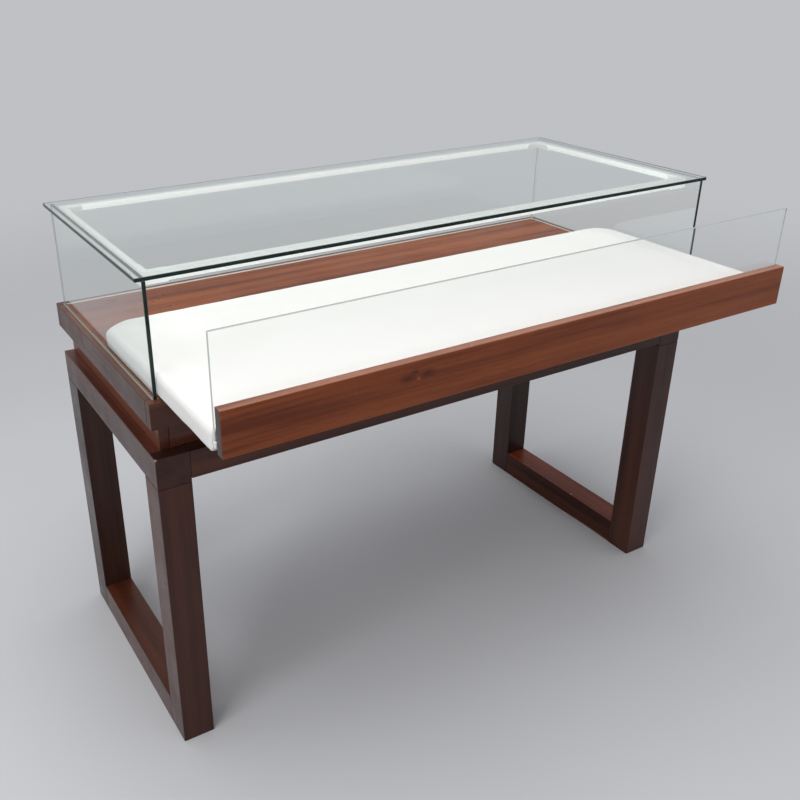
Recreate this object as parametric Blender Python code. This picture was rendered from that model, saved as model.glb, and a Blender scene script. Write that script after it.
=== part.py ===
"""A table showcase: a glass hood with a frame of light bars, over a fabric-lined drawer, on two loop legs.

Metres, +Z up, +X along the table. The drawer opens towards -Y and is modelled pulled out part of its way.
Each object is one piece. Pieces that touch keep SEAT_GAP between them.
"""

import math

import bmesh
import bpy
from mathutils import Vector

# Fits
SEAT_GAP = 0.0003
SLIDE_RUN_GAP = 0.0003
HOLE_CLEARANCE = 0.0005

# Stand
STAND_LENGTH = 1.200
STAND_DEPTH = 0.512
STAND_HEIGHT = 0.604
POST_WIDTH = 0.059
POST_DEPTH = 0.061
TOP_RAIL_HEIGHT = 0.057
FOOT_RAIL_HEIGHT = 0.060
APRON_HEIGHT = 0.051
APRON_THICKNESS = 0.034

# Tenons of the stand
TENON_LENGTH = 0.030
TENON_THICKNESS = 0.020
TENON_SHOULDER = 0.012
APRON_TENON_SHOULDER = 0.006
APRON_TENON_WALL = 0.005

# Plinth
PLINTH_HEIGHT = 0.059
PLINTH_BOARD = 0.018
PLINTH_SIDE_INSET = 0.0185
PLINTH_FRONT_INSET = 0.026
PLINTH_BACK_INSET = 0.004

# Case, measured from the stand that it overhangs at both ends and in front
CASE_END_OVERHANG = 0.0045
CASE_FRONT_OVERHANG = 0.014
CASE_BACK_SETBACK = 0.010
CASE_BOARD = 0.018
CASE_REBATE = 0.0045
DECK_THICKNESS = 0.018
CASE_FLOOR_THICKNESS = 0.009

# Glass hood
HOOD_INSET = 0.0122
HOOD_PANE_HEIGHT = 0.1895
HOOD_PANE_THICKNESS = 0.0065
HOOD_TOP_THICKNESS = 0.0065
HOOD_TOP_OVERHANG = 0.010

# Light bars
LED_TOP_LEG = 0.009
LED_SIDE_LEG = 0.0135
LED_WALL = 0.0012
LED_TAPE_WIDTH = 0.005
LED_TAPE_EDGE = 0.00075
LED_TAPE_THICKNESS = 0.0006
LED_COVER_THICKNESS = 0.001
LED_COVER_BOW = 0.0012
LED_LEFT_GAP = 0.0045
LED_RIGHT_GAP = 0.0135
LED_BACK_GAP = 0.015
LED_FRONT_SETBACK = 0.026
LED_CORNER_LEG = 0.040
LED_CORNER_LIP = 0.0018

# Feed wire, driver and grommet
WIRE_DIAMETER = 0.0022
DRIVER_LENGTH = 0.150
DRIVER_WIDTH = 0.036
DRIVER_HEIGHT = 0.015
DRIVER_EAR = 0.012
DRIVER_EAR_THICKNESS = 0.003
DRIVER_RAIL_GAP = 0.004
DRIVER_HEADROOM = 0.0045
GROMMET_EDGE = 0.00175
GROMMET_FLANGE_WIDTH = 0.003
GROMMET_FLANGE_HEIGHT = 0.0025

# Drawer
DRAWER_OPEN = 0.213
DRAWER_FRONT_CLEARANCE = 0.0083
DRAWER_FRONT_HEIGHT = 0.074
DRAWER_FRONT_THICKNESS = 0.0175
DRAWER_DECK_CLEARANCE = 0.001
DRAWER_PANE_CLEARANCE = 0.0073
DRAWER_PANE_HEADROOM = 0.0082
DRAWER_PANE_THICKNESS = 0.005
PANE_STRIP_THICKNESS = 0.002
PANE_STRIP_EDGE = 0.004
TRAY_BACK_CLEARANCE = 0.0255
TRAY_THICKNESS = 0.010
TRAY_TONGUE_DEPTH = 0.006
TRAY_TONGUE_SHOULDER = 0.0025
TRAY_TONGUE_END = 0.020
TRAY_BATTEN_WIDTH = 0.016
BATTEN_DECK_CLEARANCE = 0.0015

# Pad
PAD_CLEARANCE = 0.0022
PAD_SIDE_COVER = 0.004
PAD_THICKNESS = 0.021
PAD_CROWN = 0.002
PAD_EDGE_RADIUS = 0.010
PAD_HEM_INSET = 0.0015
PAD_FRONT_SHARE = 0.25
PAD_CORNER_RADIUS = 0.050
PAD_CORNER_LEAST = 0.009
PAD_CORNER_STEPS = 8

# Slides, lying flat between deck and tray
SLIDE_LENGTH = 0.250
SLIDE_WIDTH = 0.035
SLIDE_HEIGHT = 0.0100
SLIDE_WALL = 0.0012
SLIDE_LIP = 0.0034
SLIDE_EDGE_DISTANCE = 0.175
SLIDE_FRONT_SETBACK = 0.020

# Share of a glass material's colour that the viewport shows through
GLASS_SHOWS_THROUGH = 0.7

# Edges and round shapes
WOOD_ARRIS = 0.0012
PANEL_ARRIS = 0.0004
GLASS_ARRIS = 0.0006
SMALL_ARRIS = 0.0008
ROUND_SIDES = 24
SHARP_ANGLE = math.radians(45)
CUT_OVERRUN = 0.005

# Heights of the levels that the pieces stack on
plinth_top = STAND_HEIGHT + PLINTH_HEIGHT
case_floor_top = plinth_top + SEAT_GAP + CASE_FLOOR_THICKNESS
deck_bottom = case_floor_top + DRIVER_HEIGHT + DRIVER_HEADROOM
deck_top = deck_bottom + DECK_THICKNESS
hood_pane_top = deck_top + HOOD_PANE_HEIGHT
tray_bottom = deck_top + SLIDE_HEIGHT
tray_top = tray_bottom + TRAY_THICKNESS

# Planes across the depth, measured from the middle of the stand
case_front = -STAND_DEPTH / 2 - CASE_FRONT_OVERHANG
case_back = STAND_DEPTH / 2 - CASE_BACK_SETBACK
hood_front = case_front + HOOD_INSET
hood_back = case_back - HOOD_INSET
hood_inner_back = hood_back - HOOD_PANE_THICKNESS
drawer_face = case_front - DRAWER_OPEN
drawer_front_back = drawer_face + DRAWER_FRONT_THICKNESS
drawer_pane_front = drawer_front_back + PANE_STRIP_THICKNESS
drawer_pane_back = drawer_pane_front + DRAWER_PANE_THICKNESS
tray_back = hood_inner_back - TRAY_BACK_CLEARANCE - DRAWER_OPEN

# Half lengths along the table
case_half = STAND_LENGTH / 2 + CASE_END_OVERHANG
hood_half = case_half - HOOD_INSET
hood_inner_half = hood_half - HOOD_PANE_THICKNESS
pad_half = hood_inner_half - PAD_CLEARANCE
tray_half = pad_half - PAD_SIDE_COVER

# Round corners of the tray board, inside those of the pad that is drawn over it
tray_corner = PAD_CORNER_RADIUS - PAD_SIDE_COVER

# Slanted seat of the light tape: its reach along each leg of the channel
led_seat_leg = LED_WALL + (LED_TAPE_WIDTH + 2 * LED_TAPE_EDGE) / math.sqrt(2)

# The origin lies on the floor under the middle of the whole object, drawer included
rear = max(STAND_DEPTH / 2, case_back, hood_back + HOOD_TOP_OVERHANG)
origin_y = (drawer_face + rear) / 2


def clear_scene():
    for old in list(bpy.data.objects):
        bpy.data.objects.remove(old, do_unlink=True)


def finish(name, colour, roughness, metallic=0.0, transmission=0.0):
    """A Principled material."""
    material = bpy.data.materials.new(name)
    material.use_nodes = True
    shader = material.node_tree.nodes["Principled BSDF"]
    shader.inputs["Base Color"].default_value = (*colour, 1.0)
    shader.inputs["Roughness"].default_value = roughness
    shader.inputs["Metallic"].default_value = metallic
    shader.inputs["Transmission Weight"].default_value = transmission
    material.diffuse_color = (*colour, 1.0 - GLASS_SHOWS_THROUGH * transmission)
    return material


def empty(name, location=(0.0, 0.0, 0.0), parent=None):
    marker = bpy.data.objects.new(name, None)
    marker.location = location
    marker.parent = parent
    bpy.context.collection.objects.link(marker)
    return marker


def solid(name, shape, material, body, location=(0.0, 0.0, 0.0)):
    """Turns a bmesh into a named object that moves with a body."""
    bmesh.ops.recalc_face_normals(shape, faces=shape.faces)
    mesh = bpy.data.meshes.new(name)
    shape.to_mesh(mesh)
    shape.free()
    mesh.materials.append(material)
    piece = bpy.data.objects.new(name, mesh)
    piece.location = location
    piece.parent = body
    bpy.context.collection.objects.link(piece)
    return piece


def round_edges(piece, width, segments):
    bevel = piece.modifiers.new("arris", "BEVEL")
    bevel.width = width
    bevel.segments = segments
    bevel.limit_method = "ANGLE"


def block(name, x, y, z, material, body):
    """A square-edged block between two planes each way."""
    low = Vector((x[0], y[0], z[0]))
    high = Vector((x[1], y[1], z[1]))
    shape = bmesh.new()
    bmesh.ops.create_cube(shape, size=1.0)
    bmesh.ops.scale(shape, vec=high - low, verts=shape.verts)
    return solid(name, shape, material, body, (low + high) / 2)


def board(name, x, y, z, material, body, arris=WOOD_ARRIS, segments=2):
    """A flat-sided piece between two planes each way, with eased edges."""
    piece = block(name, x, y, z, material, body)
    round_edges(piece, arris, segments)
    return piece


def round_back_board(name, x, y, z, radius, material, body, arris):
    """A flat-sided piece with eased edges, whose two upright edges at the back are round."""
    piece = block(name, x, y, z, material, body)
    shape = bmesh.new()
    shape.from_mesh(piece.data)
    upright = []
    for edge in shape.edges:
        heights = {vert.co.z for vert in edge.verts}
        if len(heights) == 2 and all(vert.co.y > 0 for vert in edge.verts):
            upright.append(edge)
    bmesh.ops.bevel(
        shape, geom=upright, offset=radius, segments=PAD_CORNER_STEPS, profile=0.5, affect="EDGES"
    )
    shape.to_mesh(piece.data)
    shape.free()
    round_edges(piece, arris, 1)
    return piece


def extrusion(name, profile, length, material, body, location, turn=0.0):
    """A profile of (across, up) points, drawn out along local +Y and turned about Z."""
    shape = bmesh.new()
    outline = shape.faces.new([shape.verts.new((across, 0.0, up)) for across, up in profile])
    drawn = bmesh.ops.extrude_face_region(shape, geom=[outline])["geom"]
    moved = [part for part in drawn if isinstance(part, bmesh.types.BMVert)]
    bmesh.ops.translate(shape, vec=(0.0, length, 0.0), verts=moved)
    piece = solid(name, shape, material, body, location)
    piece.rotation_euler.z = turn
    return piece


def combine(piece, helper, operation):
    """A Boolean of a piece with a helper that isn't part of the object."""
    helper.hide_render = True
    helper.display_type = "WIRE"
    boolean = piece.modifiers.new(operation.lower(), "BOOLEAN")
    boolean.operation = operation
    boolean.solver = "EXACT"
    boolean.object = helper


def cut(piece, cutter):
    combine(piece, cutter, "DIFFERENCE")


def widened(span, gap):
    return (span[0] - gap, span[1] + gap)


def tongue_joint(tongue_piece, socket_piece, x, y, z):
    """Adds a block to one piece as its tongue, and cuts its socket, with a gap all round, in the other."""
    material = tongue_piece.data.materials[0]
    body = tongue_piece.parent
    name = f"{tongue_piece.name}_in_{socket_piece.name}"
    combine(tongue_piece, block(f"{name}_tongue", x, y, z, material, body), "UNION")
    gap = SEAT_GAP
    socket = block(f"{name}_socket", widened(x, gap), widened(y, gap), widened(z, gap), material, body)
    cut(socket_piece, socket)


def round_cutter(name, radius, depth, material, body, location, turn_x=0.0):
    shape = bmesh.new()
    bmesh.ops.create_cone(
        shape, cap_ends=True, segments=ROUND_SIDES, radius1=radius, radius2=radius, depth=depth
    )
    cutter = solid(name, shape, material, body, location)
    cutter.rotation_euler.x = turn_x
    return cutter


def mirrored(low, high, side):
    """The span low..high on the right (side 1) or left (side -1)."""
    return tuple(sorted((side * low, side * high)))


def build_stand(wood, body):
    """Two loop legs, whose posts and foot rails are tenoned, and two aprons tenoned into the loops."""
    half_length = STAND_LENGTH / 2
    half_depth = STAND_DEPTH / 2
    post_inner = half_length - POST_WIDTH
    post_middle = half_length - POST_WIDTH / 2
    rail_bottom = STAND_HEIGHT - TOP_RAIL_HEIGHT
    post_gap = half_depth - POST_DEPTH
    apron_x = (-post_inner + SEAT_GAP, post_inner - SEAT_GAP)
    apron_z = (STAND_HEIGHT - APRON_HEIGHT, STAND_HEIGHT)
    ends = ((-1, "front"), (1, "back"))
    apron_y = {place: mirrored(half_depth - APRON_THICKNESS, half_depth, end) for end, place in ends}
    aprons = {place: board(f"apron_{place}", apron_x, apron_y[place], apron_z, wood, body) for _, place in ends}
    apron_tenon = (POST_WIDTH - TENON_THICKNESS) / 2 - APRON_TENON_WALL
    for side, label in ((-1, "left"), (1, "right")):
        x = mirrored(post_inner, half_length, side)
        foot_y = (-post_gap + SEAT_GAP, post_gap - SEAT_GAP)
        top_rail = board(
            f"leg_{label}_top_rail", x, (-half_depth, half_depth), (rail_bottom, STAND_HEIGHT), wood, body
        )
        foot_rail = board(f"leg_{label}_foot_rail", x, foot_y, (0.0, FOOT_RAIL_HEIGHT), wood, body)
        tenon_x = widened((side * post_middle, side * post_middle), TENON_THICKNESS / 2)
        for end, place in ends:
            y = mirrored(post_gap, half_depth, end)
            post = board(f"leg_{label}_{place}_post", x, y, (0.0, rail_bottom - SEAT_GAP), wood, body)
            post_tenon_z = (rail_bottom - CUT_OVERRUN, rail_bottom + TENON_LENGTH)
            tongue_joint(post, top_rail, tenon_x, widened(y, -TENON_SHOULDER), post_tenon_z)
            foot_tenon_y = mirrored(post_gap - CUT_OVERRUN, post_gap + TENON_LENGTH, end)
            foot_tenon_z = widened((0.0, FOOT_RAIL_HEIGHT), -TENON_SHOULDER)
            tongue_joint(foot_rail, post, tenon_x, foot_tenon_y, foot_tenon_z)
            tongue_joint(
                aprons[place],
                top_rail,
                mirrored(post_inner - CUT_OVERRUN, post_inner + apron_tenon, side),
                widened(apron_y[place], -APRON_TENON_SHOULDER),
                widened(apron_z, -TENON_SHOULDER),
            )


def build_plinth(wood, body):
    outer = STAND_LENGTH / 2 - PLINTH_SIDE_INSET
    front = -STAND_DEPTH / 2 + PLINTH_FRONT_INSET
    back = STAND_DEPTH / 2 - PLINTH_BACK_INSET
    z = (STAND_HEIGHT + SEAT_GAP, plinth_top)
    inner = outer - PLINTH_BOARD
    for side, label in ((-1, "left"), (1, "right")):
        board(f"plinth_{label}", mirrored(inner, outer, side), (front, back), z, wood, body)
    x = (-inner + SEAT_GAP, inner - SEAT_GAP)
    board("plinth_front", x, (front, front + PLINTH_BOARD), z, wood, body)
    board("plinth_back", x, (back - PLINTH_BOARD, back), z, wood, body)


def build_case(wood, body):
    """Rails rebated for a deck and a floor panel, with the front and back rails over the side rails' ends."""
    whole_x = (-case_half, case_half)
    z = (plinth_top + SEAT_GAP, deck_top)
    inner_x = widened(whole_x, -CASE_BOARD)
    inner_y = widened((case_front, case_back), -CASE_BOARD)
    front_rail = board("case_rail_front", whole_x, (case_front, inner_y[0]), z, wood, body)
    back_rail = board("case_rail_back", whole_x, (inner_y[1], case_back), z, wood, body)
    rails = [front_rail, back_rail]
    for side, label in ((-1, "left"), (1, "right")):
        x = mirrored(inner_x[1], case_half, side)
        rails.append(board(f"case_rail_{label}", x, widened(inner_y, -SEAT_GAP), z, wood, body))
    rebate_x = widened(inner_x, CASE_REBATE)
    rebate_y = widened(inner_y, CASE_REBATE)
    panel_x = widened(rebate_x, -SEAT_GAP)
    panel_y = widened(rebate_y, -SEAT_GAP)
    deck = board("case_deck", panel_x, panel_y, (deck_bottom, deck_top), wood, body, PANEL_ARRIS, 1)
    floor_z = (plinth_top + SEAT_GAP, case_floor_top)
    board("case_floor", panel_x, panel_y, floor_z, wood, body, PANEL_ARRIS, 1)
    deck_rebate_z = (deck_bottom - SEAT_GAP, deck_top + CUT_OVERRUN)
    deck_rebate = block("deck_rebate", rebate_x, rebate_y, deck_rebate_z, wood, body)
    floor_rebate_z = (plinth_top - CUT_OVERRUN, case_floor_top + SEAT_GAP)
    floor_rebate = block("floor_rebate", rebate_x, rebate_y, floor_rebate_z, wood, body)
    for rail in rails:
        cut(rail, deck_rebate)
        cut(rail, floor_rebate)
    return deck, back_rail


def build_hood(glass, body):
    pane_z = (deck_top + SEAT_GAP, hood_pane_top)
    pane_y = (hood_front, hood_back)
    for side, label in ((-1, "left"), (1, "right")):
        x = mirrored(hood_inner_half, hood_half, side)
        board(f"hood_{label}", x, pane_y, pane_z, glass, body, GLASS_ARRIS, 1)
    back_x = (-hood_inner_half + SEAT_GAP, hood_inner_half - SEAT_GAP)
    board("hood_back", back_x, (hood_inner_back, hood_back), pane_z, glass, body, GLASS_ARRIS, 1)
    top_half = hood_half + HOOD_TOP_OVERHANG
    top_y = (hood_front, hood_back + HOOD_TOP_OVERHANG)
    top_z = (hood_pane_top + SEAT_GAP, hood_pane_top + SEAT_GAP + HOOD_TOP_THICKNESS)
    board("hood_top", (-top_half, top_half), top_y, top_z, glass, body, GLASS_ARRIS, 1)


def channel_profile():
    """A corner channel: two legs and a slanted seat for the tape, with its outer corner at the origin."""
    return [
        (0.0, 0.0),
        (0.0, -LED_SIDE_LEG),
        (LED_WALL, -LED_SIDE_LEG),
        (LED_WALL, -led_seat_leg),
        (led_seat_leg, -LED_WALL),
        (LED_TOP_LEG, -LED_WALL),
        (LED_TOP_LEG, 0.0),
    ]


def cover_profile(steps=6):
    """A bowed strip between the tips of the channel's legs."""
    near = LED_WALL + SEAT_GAP

    def bowed(shrink):
        top_reach = LED_TOP_LEG - SEAT_GAP - shrink
        side_reach = LED_SIDE_LEG - SEAT_GAP - shrink
        points = []
        for step in range(steps + 1):
            share = step / steps
            out = LED_COVER_BOW * math.sin(math.pi * share) / math.sqrt(2)
            across = near + (top_reach - near) * (1 - share) + out
            up = -(near + (side_reach - near) * share) - out
            points.append((across, up))
        return points

    outer = bowed(0.0)
    inner = bowed(LED_COVER_THICKNESS * math.sqrt(2))
    return outer + inner[::-1]


def tape_profile():
    """The tape lies on the slanted seat, in the middle of its width."""
    middle = (led_seat_leg + LED_WALL) / 2
    along = LED_TAPE_WIDTH / 2 / math.sqrt(2)
    near = SEAT_GAP / math.sqrt(2)
    far = (SEAT_GAP + LED_TAPE_THICKNESS) / math.sqrt(2)
    return [
        (middle - along + near, -middle - along - near),
        (middle - along + far, -middle - along - far),
        (middle + along + far, -middle + along - far),
        (middle + along + near, -middle + along - near),
    ]


def corner_mesh():
    """Two short legs that meet in a mitre, and close the ends of the bars beside them."""
    top = LED_TOP_LEG + LED_CORNER_LIP
    side = LED_SIDE_LEG + LED_CORNER_LIP
    tip = LED_WALL + LED_CORNER_LIP
    outline = [(0.0, 0.0), (0.0, -side), (tip, -side), (top, -tip), (top, 0.0)]
    shape = bmesh.new()
    rings = [
        [shape.verts.new((LED_CORNER_LEG, across, up)) for across, up in outline],
        [shape.verts.new((across, across, up)) for across, up in outline],
        [shape.verts.new((across, LED_CORNER_LEG, up)) for across, up in outline],
    ]
    for first, second in zip(rings, rings[1:]):
        for here in range(len(outline)):
            there = (here + 1) % len(outline)
            shape.faces.new((first[here], first[there], second[there], second[here]))
    shape.faces.new(rings[0])
    shape.faces.new(rings[2])
    return shape


def led_corners():
    """Outer corners of the frame of bars, in order, each with its name and the bar that starts there."""
    left = LED_LEFT_GAP - hood_inner_half
    right = hood_inner_half - LED_RIGHT_GAP
    front = hood_front + LED_FRONT_SETBACK
    back = hood_inner_back - LED_BACK_GAP
    quarter = math.pi / 2
    return [
        ("front_left", "left", Vector((left, front)), Vector((0, 1)), 0.0),
        ("back_left", "back", Vector((left, back)), Vector((1, 0)), -quarter),
        ("back_right", "right", Vector((right, back)), Vector((0, -1)), 2 * quarter),
        ("front_right", "front", Vector((right, front)), Vector((-1, 0)), quarter),
    ]


def build_lights(white, opal, tape, body):
    corners = led_corners()
    under_top = hood_pane_top
    for index, (corner, bar, start, along, turn) in enumerate(corners):
        end = corners[(index + 1) % len(corners)][2]
        length = (end - start).length - 2 * (LED_CORNER_LEG + SEAT_GAP)
        place = start + along * (LED_CORNER_LEG + SEAT_GAP)
        for piece, profile, material in (
            ("channel", channel_profile(), white),
            ("diffuser", cover_profile(), opal),
            ("tape", tape_profile(), tape),
        ):
            where = (place.x, place.y, under_top)
            extrusion(f"led_{piece}_{bar}", profile, length, material, body, where, turn)
        piece = solid(f"led_corner_{corner}", corner_mesh(), white, body, (start.x, start.y, under_top))
        piece.rotation_euler.z = turn


def rounded_route(points, radius, steps=5):
    """The points of a path whose corners are arcs of one radius."""
    route = [points[0]]
    for before, corner, after in zip(points, points[1:], points[2:]):
        back = (before - corner).normalized()
        ahead = (after - corner).normalized()
        bend = math.pi - back.angle(ahead)
        reach = radius * math.tan(bend / 2)
        centre = corner + (back + ahead).normalized() * radius / math.cos(bend / 2)
        first = corner + back * reach - centre
        last = corner + ahead * reach - centre
        for step in range(steps + 1):
            share = step / steps
            blend = math.sin(bend * (1 - share)) * first + math.sin(bend * share) * last
            route.append(centre + blend / math.sin(bend))
    route.append(points[-1])
    return route


def build_feed(deck, back_rail, clear_lead, driver_finish, rubber, body):
    """A lead from the back right corner of the lights, down through the deck to the driver in the case."""
    corner = led_corners()[2][2]
    side_standoff = LED_RIGHT_GAP / 2
    back_standoff = LED_BACK_GAP / 2
    driver_base = case_floor_top + SEAT_GAP
    lead_level = driver_base + DRIVER_HEIGHT / 2
    start = Vector((corner.x - LED_CORNER_LEG / 2, corner.y + SEAT_GAP, hood_pane_top - LED_SIDE_LEG / 2))
    turn_out = Vector((start.x, corner.y + back_standoff, start.z))
    drop = Vector((corner.x + side_standoff, turn_out.y, start.z))
    below = Vector((drop.x, drop.y, lead_level))
    driver_end = corner.x - LED_CORNER_LEG
    driver_back = case_back - CASE_BOARD - DRIVER_RAIL_GAP
    turn_in = Vector((drop.x, driver_back - DRIVER_WIDTH / 2, lead_level))
    inlet = Vector((driver_end + SEAT_GAP, turn_in.y, lead_level))
    bend_radius = min(side_standoff, back_standoff) - SEAT_GAP
    route = rounded_route([start, turn_out, drop, below, turn_in, inlet], bend_radius)
    path = bpy.data.curves.new("led_wire", "CURVE")
    path.dimensions = "3D"
    path.bevel_depth = WIRE_DIAMETER / 2
    path.bevel_resolution = 2
    path.use_fill_caps = True
    spline = path.splines.new("POLY")
    spline.points.add(len(route) - 1)
    for point, where in zip(spline.points, route):
        point.co = (*where, 1.0)
    path.materials.append(clear_lead)
    wire = bpy.data.objects.new("led_wire", path)
    wire.parent = body
    bpy.context.collection.objects.link(wire)

    hole_radius = WIRE_DIAMETER / 2 + HOLE_CLEARANCE
    hole_at = (drop.x, drop.y, deck_top)
    hole_depth = 2 * (DECK_THICKNESS + CUT_OVERRUN)
    cut(deck, round_cutter("wire_hole", hole_radius, hole_depth, clear_lead, body, hole_at))

    ear_top = DRIVER_EAR_THICKNESS
    near = DRIVER_EAR
    far = DRIVER_LENGTH - DRIVER_EAR
    profile = [
        (0.0, 0.0),
        (DRIVER_LENGTH, 0.0),
        (DRIVER_LENGTH, ear_top),
        (far, ear_top),
        (far, DRIVER_HEIGHT),
        (near, DRIVER_HEIGHT),
        (near, ear_top),
        (0.0, ear_top),
    ]
    driver_at = (driver_end + DRIVER_EAR - DRIVER_LENGTH, driver_back - DRIVER_WIDTH, driver_base)
    extrusion("led_driver", profile, DRIVER_WIDTH, driver_finish, body, driver_at)

    grommet_at = (driver_at[0] + DRIVER_LENGTH / 2, case_back, (case_floor_top + deck_bottom) / 2)
    hole_radius = (deck_bottom - case_floor_top) / 2 - GROMMET_EDGE
    plug_depth = 2 * (CASE_BOARD + CUT_OVERRUN)
    hole = round_cutter("grommet_hole", hole_radius, plug_depth, rubber, body, grommet_at, math.pi / 2)
    cut(back_rail, hole)
    build_grommet(hole_radius, rubber, body, grommet_at)


def build_grommet(hole_radius, rubber, body, location):
    """A blind rubber grommet, turned about the hole's axis: a plug through the rail and a flange behind it."""
    plug = hole_radius - SEAT_GAP
    rim = hole_radius + GROMMET_FLANGE_WIDTH
    profile = [
        (0.0, GROMMET_FLANGE_HEIGHT / 2),
        (plug / 2, GROMMET_FLANGE_HEIGHT / 2),
        (plug, GROMMET_FLANGE_HEIGHT),
        (rim - GROMMET_FLANGE_HEIGHT / 2, GROMMET_FLANGE_HEIGHT),
        (rim, GROMMET_FLANGE_HEIGHT / 2),
        (rim, SEAT_GAP),
        (plug, SEAT_GAP),
        (plug, SEAT_GAP - CASE_BOARD),
        (0.0, SEAT_GAP - CASE_BOARD),
    ]
    shape = bmesh.new()
    points = [shape.verts.new((radius, height, 0.0)) for radius, height in profile]
    edges = [shape.edges.new(pair) for pair in zip(points, points[1:])]
    bmesh.ops.spin(
        shape, geom=points + edges, axis=(0, 1, 0), cent=(0, 0, 0), angle=2 * math.pi, steps=ROUND_SIDES
    )
    bmesh.ops.remove_doubles(shape, verts=shape.verts, dist=SEAT_GAP / 2)
    grommet = solid("cable_grommet", shape, rubber, body, location)
    grommet.data.shade_smooth()
    grommet.data.set_sharp_from_angle(angle=SHARP_ANGLE)


def pad_ring(inset, height, shape):
    """One closed outline of the pad: nearly square at the front, with round corners at the back."""
    half = pad_half - inset
    front = drawer_pane_back + SEAT_GAP + inset * PAD_FRONT_SHARE
    back = tray_back + PAD_SIDE_COVER - inset
    radius = max(PAD_CORNER_RADIUS - inset, PAD_CORNER_LEAST)
    arc_steps = PAD_CORNER_STEPS
    long_steps = 16
    side_steps = 8
    outline = []
    for step in range(long_steps):
        outline.append((-half + 2 * half * step / long_steps, front))
    for step in range(side_steps):
        outline.append((half, front + (back - radius - front) * step / side_steps))
    for step in range(arc_steps):
        angle = math.pi / 2 * step / arc_steps
        outline.append((half - radius + radius * math.cos(angle), back - radius + radius * math.sin(angle)))
    for step in range(long_steps):
        outline.append((half - radius - 2 * (half - radius) * step / long_steps, back))
    for step in range(arc_steps):
        angle = math.pi / 2 * (1 + step / arc_steps)
        outline.append((radius - half + radius * math.cos(angle), back - radius + radius * math.sin(angle)))
    for step in range(side_steps):
        outline.append((-half, back - radius - (back - radius - front) * step / side_steps))
    return [shape.verts.new((x, y, height)) for x, y in outline]


def build_pad(fabric, body):
    """Padding over the tray board: rounded edges, a low crown, and a skirt round the board's edges."""
    top = tray_top + SEAT_GAP + PAD_THICKNESS
    bottom = tray_bottom
    levels = [(PAD_HEM_INSET, bottom), (0.0, bottom + (top - bottom) / 3)]
    edge_steps = 5
    for step in range(edge_steps + 1):
        angle = math.pi / 2 * step / edge_steps
        inset = PAD_EDGE_RADIUS * (1 - math.cos(angle))
        levels.append((inset, top - PAD_EDGE_RADIUS * (1 - math.sin(angle))))
    crown_depth = (tray_back - drawer_pane_back) / 2
    crown_steps = 4
    for step in range(1, crown_steps + 1):
        share = step / (crown_steps + 1)
        inset = PAD_EDGE_RADIUS + (crown_depth - PAD_EDGE_RADIUS) * share
        levels.append((inset, top + PAD_CROWN * math.sin(math.pi / 2 * share)))
    shape = bmesh.new()
    rings = [pad_ring(inset, height, shape) for inset, height in levels]
    for lower, upper in zip(rings, rings[1:]):
        for here in range(len(lower)):
            there = (here + 1) % len(lower)
            shape.faces.new((lower[here], lower[there], upper[there], upper[here]))
    shape.faces.new(rings[0])
    shape.faces.new(rings[-1])
    pad = solid("pad", shape, fabric, body)
    pad.data.shade_smooth()
    pad.data.set_sharp_from_angle(angle=SHARP_ANGLE)

    recess_half = tray_half + SEAT_GAP
    recess = round_back_board(
        "pad_recess",
        (-recess_half, recess_half),
        (drawer_face, tray_back + SEAT_GAP),
        (deck_top, tray_top + SEAT_GAP),
        tray_corner + SEAT_GAP,
        fabric,
        body,
        SEAT_GAP / 2,
    )
    cut(pad, recess)


def build_drawer(wood, glass, rubber, plywood, fabric, body):
    half = hood_inner_half - DRAWER_FRONT_CLEARANCE
    front_bottom = deck_top + DRAWER_DECK_CLEARANCE
    front_top = front_bottom + DRAWER_FRONT_HEIGHT
    front_y = (drawer_face, drawer_front_back)
    front = board("drawer_front", (-half, half), front_y, (front_bottom, front_top), wood, body)

    pane_half = hood_inner_half - DRAWER_PANE_CLEARANCE
    pane_bottom = tray_top + SEAT_GAP
    pane_z = (pane_bottom, hood_pane_top - DRAWER_PANE_HEADROOM)
    pane_y = (drawer_pane_front, drawer_pane_back)
    board("drawer_pane", (-pane_half, pane_half), pane_y, pane_z, glass, body, GLASS_ARRIS, 1)

    strip_half = half - PANE_STRIP_EDGE
    strip_y = (drawer_front_back + SEAT_GAP, drawer_pane_front - SEAT_GAP)
    strip_z = (pane_bottom, front_top - PANE_STRIP_EDGE)
    board("drawer_pane_strip", (-strip_half, strip_half), strip_y, strip_z, rubber, body, SEAT_GAP, 1)

    tray_y = (drawer_front_back + SEAT_GAP, tray_back)
    tray_z = (tray_bottom, tray_top)
    tray_x = (-tray_half, tray_half)
    tray = round_back_board("tray_board", tray_x, tray_y, tray_z, tray_corner, plywood, body, SMALL_ARRIS)
    tongue_x = widened(tray_x, -TRAY_TONGUE_END)
    tongue_y = (drawer_front_back - TRAY_TONGUE_DEPTH, drawer_front_back + CUT_OVERRUN)
    tongue_joint(tray, front, tongue_x, tongue_y, widened(tray_z, -TRAY_TONGUE_SHOULDER))
    batten_y = (tray_y[0], tray_back - tray_corner)
    batten_z = (deck_top + BATTEN_DECK_CLEARANCE, tray_bottom - SEAT_GAP)
    for side, label in ((-1, "left"), (1, "right")):
        x = mirrored(tray_half - TRAY_BATTEN_WIDTH, tray_half, side)
        board(f"tray_batten_{label}", x, batten_y, batten_z, fabric, body, SMALL_ARRIS, 2)
    build_pad(fabric, body)


def lipped_channel(half, low, high):
    """A channel open at the top, with lips turned in over what runs in it."""
    inner = half - SLIDE_WALL
    lip = inner - SLIDE_LIP
    right = [
        (half, low),
        (half, high),
        (lip, high),
        (lip, high - SLIDE_WALL),
        (inner, high - SLIDE_WALL),
        (inner, low + SLIDE_WALL),
    ]
    return right + [(-across, up) for across, up in reversed(right)]


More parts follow.
